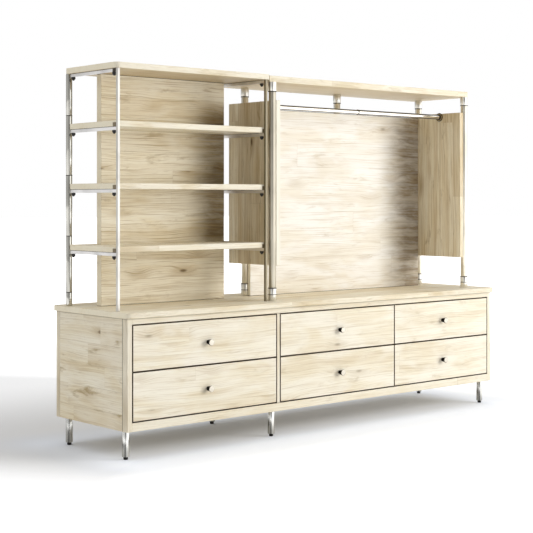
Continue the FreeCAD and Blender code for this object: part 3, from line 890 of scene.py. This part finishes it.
def rod_metal(name):
    """Nickel plate, painted dark along the top and duller along the foot, as painted reflections of the
    shaded wood round the rod.
    """
    metal = Finish(name)
    axes = metal.axes()
    height = (axes["z"] - rod_middle[1]) / rod_radius
    front = (rod_middle[0] - axes["y"]) / rod_radius
    # painted reflections: dark bands along the top and foot, wavering a little
    band_waver = metal.noise(metal.point(axes["x"] * 14.0, front * 2.0, height * 2.0), 3.0)
    top_reflection_band = (height + band_waver * 0.12).fade(0.46, 0.58)
    painted_reflection_bands = top_reflection_band.most((0.0 - height + band_waver * 0.06).fade(0.66, 0.80) * 0.9)
    belt = metal.stretched(axes, 20.0, 500.0, 500.0)
    metal.set(Base_Color=metal.mix(painted_reflection_bands, paint(238, 236, 230), paint(34, 27, 18)),
              Metallic=1.0 - painted_reflection_bands * 0.6, Roughness=0.12 + belt * 0.06 + painted_reflection_bands * 0.3)
    return metal.bump(belt, 0.0001, 0.2).material


for node in ("rod_outer", "rod_inner"):
    finish_node(node, rod_metal(f"nickel_{node}"))
bead = [(bead_width / 2 * (1 - math.cos(turn)), rod_radius + bead_rise * math.sin(turn))
        for turn in (math.pi * step / 8 for step in range(9))]
mouth = (rod_low.x - bead_width / 2, *rod_middle)
mouth_ring = [(0, inner_bore)] + bead + [(bead_width, inner_bore), (0, inner_bore)]
mouth_bead = turned("rod_mouth_bead", [(mouth_ring, mouth, rightward)],
                    nickel("nickel_rod_bead", (128, 122, 110), 0.25))


# The rod's flanges: round plates screwed to the side panels, bronzed at the rim and tan on the face.
# A black moulded socket stands on each and takes the end of the tube.

flange_ease = 0.0008
flange_rim = 0.004
socket_length = 0.006
socket_wall = 0.0026
socket_radius = rod_radius + socket_wall
socket_lip = 0.0016


def flange_metal(name, plate_radius):
    """Steel browned at the rim of the disc and rubbed back to a tan on its face."""
    steel = Finish(name, {"Specular IOR Level": 0.35})
    axes = steel.axes()
    across, height = axes["y"] - rod_middle[0], axes["z"] - rod_middle[1]
    out = (across * across + height * height) ** 0.5
    cloud = steel.even(axes, 140.0)
    tan = steel.mix(cloud, paint(168, 146, 100), paint(192, 172, 128))
    rim_start = plate_radius - flange_rim
    rim = out.fade(rim_start - 0.0006, rim_start + 0.0006)
    steel.set(Base_Color=steel.mix(rim, tan, paint(52, 38, 18)), Roughness=0.48 + cloud * 0.12)
    return steel.material


def socket_outline(bore):
    return [(0, bore), (0, socket_radius), (socket_length * 0.7, socket_radius * 0.96),
            (socket_length, bore + socket_lip), (socket_length, bore), (0, bore)]


left_plate, right_plate = solids_of("rod_flanges")
flange_radius = (left_plate[1].z - left_plate[0].z) / 2
plates = [(round_bar(high.x - low.x, flange_radius, flange_ease), (low.x, *rod_middle), rightward)
          for low, high, levels in (left_plate, right_plate)]
dress("rod_flanges", "round_flanges", plates, flange_metal("bronzed_flanges", flange_radius))
sockets = [(socket_outline(inner_bore), (left_plate[1].x, *rod_middle), rightward),
           (socket_outline(outer_bore), (right_plate[0].x, *rod_middle), (-1, 0, 0))]
turned("rod_sockets", sockets, black_moulding("black_sockets", 0.6))


# The studio floor: white, run out until it meets the white room, and lit from the front right. It lies
# in a soft shadow under and behind the chest. The camera sees light painted on it as a glow, strongest where
# the key reaches it, faint under the chest and white far off, and near the chest it is painted cooler, so
# that the shadow reads cool. Reflections are painted on it for polished metal: dim to the left of each leg, a
# dark patch beyond, and bright to the right.

floor_reach = 60.0
light_direction = Vector((0.82, -1.0, 0.38)).normalized()
camera_turn = math.radians(-41.2)
gap_turn = camera_turn + math.radians(5)
dark_reflection_turn = math.radians(-50)
bright_turn = math.radians(70)


def grey(tone):
    return (tone, tone, tone, 1.0)


def stage_sheet(name, corners, material):
    """A flat sheet that belongs to the studio."""
    mesh = bpy.data.meshes.new(name)
    mesh.from_pydata([Vector(corner) for corner in corners], [], [(0, 1, 2, 3)])
    mesh.materials.append(material)
    made = bpy.data.objects.new(name, mesh)
    bpy.context.scene.collection.objects.link(made)


case_low, case_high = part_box("base_top")
floor_white = Finish("floor_white", {"Roughness": 0.8, "Specular IOR Level": 0.0, "Emission Strength": 1.0})
spot = floor_white.axes()

# how far a spot is from the chest, and how much light reaches it
beyond_ends = (spot["x"].size() - case_high.x).most(0.0)
beyond_sides = (spot["y"].size() - case_high.y).most(0.0)
away = (beyond_ends * beyond_ends + beyond_sides * beyond_sides) ** 0.5
in_front = case_low.y - spot["y"]
at_right = spot["x"] - case_high.x
light_way = Vector((light_direction.x, light_direction.y)).normalized()
past_left_end = (spot["x"] - case_low.x) * light_way.y + (case_low.y - spot["y"]) * light_way.x
past_right_end = (spot["y"] - case_high.y) * light_way.x - (spot["x"] - case_high.x) * light_way.y
lit_sides = (in_front.fade(-0.05, 0.3) + at_right.fade(-0.05, 0.3)).least(1.0)
lit = lit_sides.most(past_left_end.fade(-0.15, 0.55)).most(past_right_end.fade(-0.15, 0.35))
# painted light: a glow seen by the camera where the key lights the floor, rising to white far off, and faint
# under the chest
painted_light_and_backdrop = (lit * 0.40).most(away.fade(0.35, 1.7, 0.0, 0.25)).most(away.fade(1.9, 4.6, 0.0, 1.0))
painted_light_under_chest = in_front.fade(-0.35, 0.0, 0.05, 0.21) + spot["x"].fade(-1.2, 1.0, 0.0, 0.06)
glow = painted_light_and_backdrop + painted_light_under_chest * away.fade(0.0, 0.2, 1.0, 0.0)
floor_seen = floor_white.add("ShaderNodeLightPath")
floor_mirrored = floor_seen.other("Is Glossy Ray")


def bearing(place, turn):
    """How far a spot on the floor lies that way from a place, from -1 to 1, and its distance from there."""
    across, along = spot["x"] - place[0], spot["y"] - place[1]
    distance = (across * across + along * along) ** 0.5
    return (across * math.sin(turn) - along * math.cos(turn)) / distance, distance


# painted reflections for polished metal: a dark patch at the foot of the gap and beyond each leg, and a dim
# one to the left of each leg, seen only in glossy rays
rear_low, rear_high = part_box("rear_shelf_posts")
to_gap, gap_distance = bearing((rear_low + rear_high) / 2, gap_turn)
painted_dark_reflection = to_gap.fade(0.955, 0.99) * gap_distance.fade(1.6, 3.0)
painted_dim_reflection = 0.0
for low, high, levels in solids_of("legs"):
    foot = foot_of(low, high)
    to_bright, distance = bearing(foot, bright_turn)
    near_leg = distance.fade(0.4, 0.65, 1.0, 0.0)
    painted_dim_reflection = (1.0 - to_bright.fade(-0.3, 0.4)) * near_leg + painted_dim_reflection
    painted_dark_reflection = bearing(foot, dark_reflection_turn)[0].fade(0.84, 0.97) * near_leg + painted_dark_reflection
painted_dim_reflection = painted_dim_reflection.least(1.0) * floor_mirrored
painted_dark_reflection = painted_dark_reflection.least(1.0) * floor_mirrored

# painted cooler near the chest for the camera, so that the shadow there reads cool
looked_at = floor_white.mix(away.fade(0.0, 0.35), (0.715, 0.745, 0.80, 1.0), (0.74, 0.742, 0.748, 1.0))
plain = floor_white.mix(floor_seen, (0.86, 0.86, 0.87, 1.0), looked_at)
# painted reflections for glossy rays: the dim and dark patches, and a bright glow where the key lights the
# floor
dimmed = floor_white.mix(painted_dim_reflection, plain, grey(0.62))
painted_bright_reflection = floor_mirrored * lit * (1.0 - painted_dark_reflection) * (1.0 - painted_dim_reflection * 0.8) * 0.72
floor_white.set(Base_Color=floor_white.mix(painted_dark_reflection, dimmed, grey(0.24)),
                Emission_Color=floor_seen * glow + painted_bright_reflection)
floor_corners = [(right * floor_reach, back * floor_reach, 0)
                 for right, back in ((-1, -1), (1, -1), (1, 1), (-1, 1))]
stage_sheet("floor", floor_corners, floor_white.material)


# The room round the floor: white walls that are seen as white, with weak light from the ceiling and the
# left. The metal mirrors a bright right wall, a duller left one and a dark gap between them.

room = bpy.data.worlds.new("room")
bpy.context.scene.world = room
room.use_nodes = True
air = Nodes(room.node_tree)
heading = air.add("ShaderNodeTexCoord", output="Generated")


def toward(*direction):
    """How far a ray heads in that direction, from -1 to 1."""
    return air.add("ShaderNodeVectorMath", {"operation": "DOT_PRODUCT"},
                   {0: heading, 1: Vector(direction).normalized()}, output="Value")


left_light = toward(-1.0, 0.12, 0.1).fade(0.55, 1.0, 0.0, 1.15)
ceiling_light = toward(0.1, 0.1, 1.0).fade(0.3, 1.0, 0.0, 1.25)
room_seen = air.add("ShaderNodeLightPath")
room_mirrored = room_seen.other("Is Glossy Ray")
left_wall = toward(-1.0, 0.3, 0.0).fade(-0.2, 0.4, 0.0, 0.62)
right_wall = toward(1.0, -0.45, 0.0).fade(-0.05, 0.5, 0.0, 1.8)
dim_end = toward(0.66, 0.75, 0.0).fade(0.35, 0.8, 1.0, 0.22)
beside_gap = toward(math.cos(gap_turn), math.sin(gap_turn), 0.0).size().fade(0.14, 0.30)
across_room = toward(-math.sin(gap_turn), math.cos(gap_turn), 0.0).above(0.0)
mirror_image = left_wall.most(right_wall) * dim_end * beside_gap.most(across_room) + 0.12
room_light = (left_light + ceiling_light) * (1.0 - room_mirrored) + mirror_image * room_mirrored
background = room.node_tree.nodes["Background"]
air.feed(background.inputs["Color"], grey(1.0))
air.feed(background.inputs["Strength"], room_light.most(room_seen))


# The key light: one broad soft box high at the front right, far enough off to light the piece evenly.
# It isn't seen in the metal, which mirrors the room's walls.

key_distance = 10.0
key_strength = 2.30
key = bpy.data.lights.new("key", "AREA")
key.shape = "RECTANGLE"
key.size = 5.5
key.size_y = 5.6
key.energy = key_strength * math.pi * key_distance ** 2
key_light = bpy.data.objects.new("key", key)
key_light.visible_glossy = False
key_light.location = light_direction * key_distance
key_light.rotation_euler = light_direction.to_track_quat("Z", "Y").to_euler()
bpy.context.scene.collection.objects.link(key_light)


# The camera: held level 1.1 m above the floor, with a long lens, in front of the piece and to its left.
# The lens is shifted down, so that uprights stay upright and the floor fills the lower part.

photo_width = 533
horizon_row = 199.1
camera_data = bpy.data.cameras.new("camera")
camera_data.lens = 86.93
camera_data.sensor_width = 36.0
camera_data.shift_y = (horizon_row - photo_width / 2) / photo_width
camera = bpy.data.objects.new("camera", camera_data)
camera.location = Vector((-4.3366, -4.7468, 1.1112))
camera.rotation_euler = (math.radians(90), 0.0, camera_turn)
bpy.context.scene.collection.objects.link(camera)
bpy.context.scene.camera = camera
bpy.context.scene.view_settings.view_transform = "Standard"
